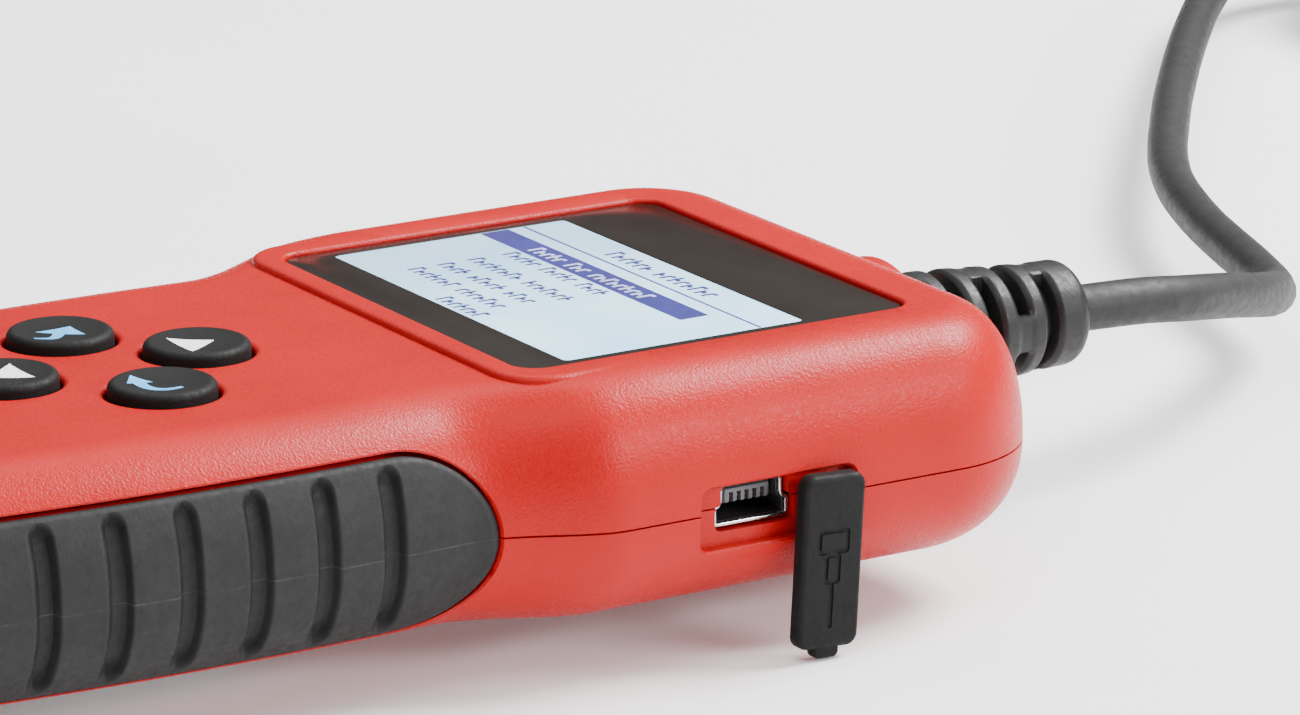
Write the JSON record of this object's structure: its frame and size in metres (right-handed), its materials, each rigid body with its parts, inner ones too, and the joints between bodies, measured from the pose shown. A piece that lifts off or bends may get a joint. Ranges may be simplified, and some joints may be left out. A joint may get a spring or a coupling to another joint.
{
  "type": "obd code reader",
  "caption": "Hand-held diagnostic reader: two-shell body with screen bezel, round keys, ribbed side grips, USB port with rubber flap, and a lead with a 16-way plug.",
  "frame": {"origin": "centre of the flat back face of the reader", "axes": "+Z out of the screen, +Y towards the cable end, +X towards the side with the USB port"},
  "size_m": [0.1837, 0.3589, 0.0282],
  "materials": {
    "red_plastic": "satin fine-textured red plastic",
    "black_rubber": "matt black rubber",
    "lens_black": "polished window with dark printed border",
    "display": "lit light blue display with dark blue picture",
    "white_plastic": "plain white plastic",
    "board_green": "green solder resist",
    "chip_black": "dull black moulding",
    "bright_steel": "plated sheet steel",
    "contact_gold": "gold flashed brass",
    "label_grey": "satin printed film without print",
    "cable_grey": "matt dark grey cable sheath",
    "tie_black": "black hook and loop strap",
    "plug_black": "textured black plastic"
  },
  "bodies": {
    "reader": {"front_housing": "red_plastic", "rear_housing": "red_plastic", "screen_lens": "lens_black", "display_glass": "display", "display_frame": "white_plastic", "main_board": "board_green", "keypad_web": "black_rubber", "controller_chip": "chip_black", "memory_chip": "chip_black", "crystal_can": "bright_steel", "buzzer": "chip_black", "cable_socket": "white_plastic", "grip_right": "black_rubber", "grip_left": "black_rubber", "board_screw_right": "bright_steel", "board_screw_left": "bright_steel", "housing_screw_1": "bright_steel", "housing_screw_2": "bright_steel", "housing_screw_3": "bright_steel", "housing_screw_4": "bright_steel", "rear_label": "label_grey", "usb_shell": "bright_steel", "usb_tongue": "chip_black", "strain_relief": "black_rubber", "cord_tube": "cable_grey", "cord_coil": "cable_grey", "cord_tie": "tie_black", "cord_tail": "cable_grey", "plug_relief": "black_rubber", "plug_cover": "plug_black", "plug_shroud": "plug_black", "plug_pins": "contact_gold", "dome_switch_up": "bright_steel", "dome_switch_down": "bright_steel", "dome_switch_back": "bright_steel", "dome_switch_enter": "bright_steel"},
    "button_up": {"button_up": "black_rubber"},
    "button_down": {"button_down": "black_rubber"},
    "button_back": {"button_back": "black_rubber"},
    "button_enter": {"button_enter": "black_rubber"},
    "usb_flap": {"usb_flap": "black_rubber"}
  },
  "joints": [
    {"name": "press_up", "type": "slide", "parent": "reader", "child": "button_up", "axis": [0, 0, -1], "range_m": [0, 0.0008], "stiffness_N_per_m": 800},
    {"name": "press_down", "type": "slide", "parent": "reader", "child": "button_down", "axis": [0, 0, -1], "range_m": [0, 0.0008], "stiffness_N_per_m": 800},
    {"name": "press_back", "type": "slide", "parent": "reader", "child": "button_back", "axis": [0, 0, -1], "range_m": [0, 0.0008], "stiffness_N_per_m": 800},
    {"name": "press_enter", "type": "slide", "parent": "reader", "child": "button_enter", "axis": [0, 0, -1], "range_m": [0, 0.0008], "stiffness_N_per_m": 800},
    {"name": "flap_swing", "type": "hinge", "parent": "reader", "child": "usb_flap", "pos_m": [0.033, 0.0357, 0.0096], "axis": [-1, 0, 0], "range_deg": [-90, 86.8]}
  ]
}
